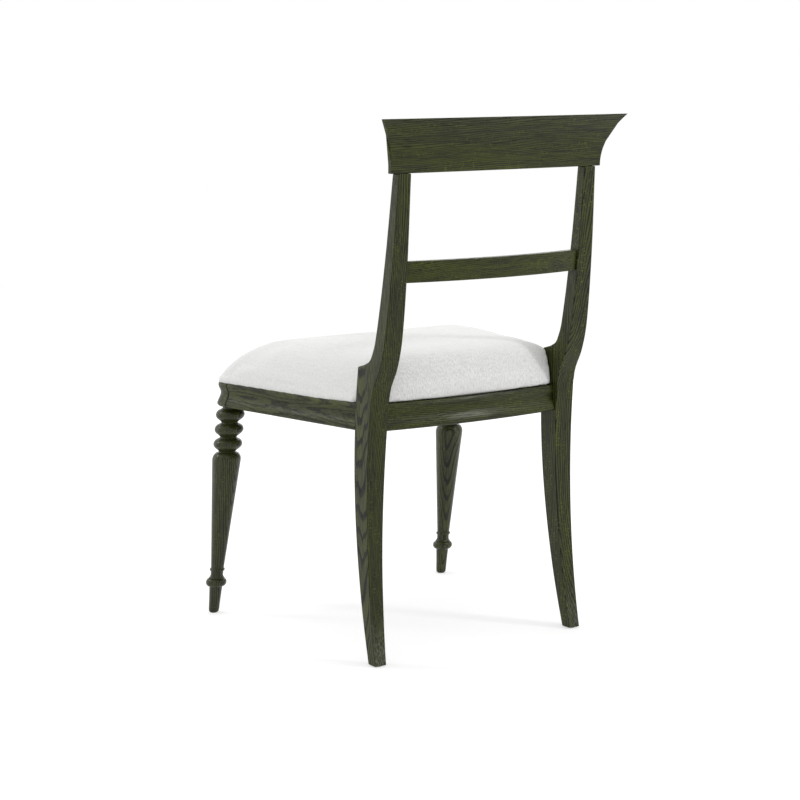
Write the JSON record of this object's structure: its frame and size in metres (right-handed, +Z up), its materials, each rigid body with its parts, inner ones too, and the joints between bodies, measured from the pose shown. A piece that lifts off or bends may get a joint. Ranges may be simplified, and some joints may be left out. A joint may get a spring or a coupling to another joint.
{
  "type": "klismos dining chair",
  "caption": "Klismos side chair with sabre rear legs, turned raked front legs, a rolled crest rail and a fixed upholstered seat.",
  "frame": {"origin": "on the floor under the middle of the chair's bounding box", "axes": "+Z up, -Y to the front of the seat, where the sitter faces, and +X to the sitter's left"},
  "size_m": [0.5598, 0.59, 0.927],
  "materials": {
    "stained_oak": "open-grained oak stained a dark olive green under a satin lacquer",
    "linen": "off-white linen weave",
    "foam": "open-cell upholstery foam, inside the cover",
    "plywood": "plain plywood, inside the cover",
    "beech": "plain beech, unfinished",
    "black_cloth": "thin black lining cloth",
    "steel": "zinc-plated steel",
    "nylon": "dark nylon"
  },
  "bodies": {
    "root": {"rear_leg_left": "stained_oak", "rear_leg_right": "stained_oak", "front_leg_left": "stained_oak", "front_leg_right": "stained_oak", "crest_rail": "stained_oak", "back_slat": "stained_oak", "rear_seat_rail": "stained_oak", "front_seat_rail": "stained_oak", "side_seat_rail_left": "stained_oak", "side_seat_rail_right": "stained_oak", "front_corner_block_left": "beech", "front_corner_block_right": "beech", "rear_corner_block_left": "beech", "rear_corner_block_right": "beech", "seat_board": "plywood", "seat_foam": "foam", "seat_cover": "linen", "dust_cover": "black_cloth", "rear_glide_left": "nylon", "rear_glide_right": "nylon", "front_glide_left": "nylon", "front_glide_right": "nylon", "rear_side_dowel_lower_left": "beech", "rear_side_dowel_lower_right": "beech", "rear_rail_dowel_lower_left": "beech", "rear_rail_dowel_lower_right": "beech", "front_side_dowel_lower_left": "beech", "front_side_dowel_lower_right": "beech", "front_rail_dowel_lower_left": "beech", "front_rail_dowel_lower_right": "beech", "rear_side_dowel_upper_left": "beech", "rear_side_dowel_upper_right": "beech", "rear_rail_dowel_upper_left": "beech", "rear_rail_dowel_upper_right": "beech", "front_side_dowel_upper_left": "beech", "front_side_dowel_upper_right": "beech", "front_rail_dowel_upper_left": "beech", "front_rail_dowel_upper_right": "beech", "crest_dowel_inner_left": "beech", "crest_dowel_inner_right": "beech", "crest_dowel_outer_left": "beech", "crest_dowel_outer_right": "beech", "front_block_screw_to_front_rail_left": "steel", "front_block_screw_to_front_rail_right": "steel", "front_block_screw_to_side_rail_left": "steel", "front_block_screw_to_side_rail_right": "steel", "front_block_screw_to_seat_left": "steel", "front_block_screw_to_seat_right": "steel", "rear_block_screw_to_rear_rail_left": "steel", "rear_block_screw_to_rear_rail_right": "steel", "rear_block_screw_to_side_rail_left": "steel", "rear_block_screw_to_side_rail_right": "steel", "rear_block_screw_to_seat_left": "steel", "rear_block_screw_to_seat_right": "steel"}
  },
  "joints": []
}
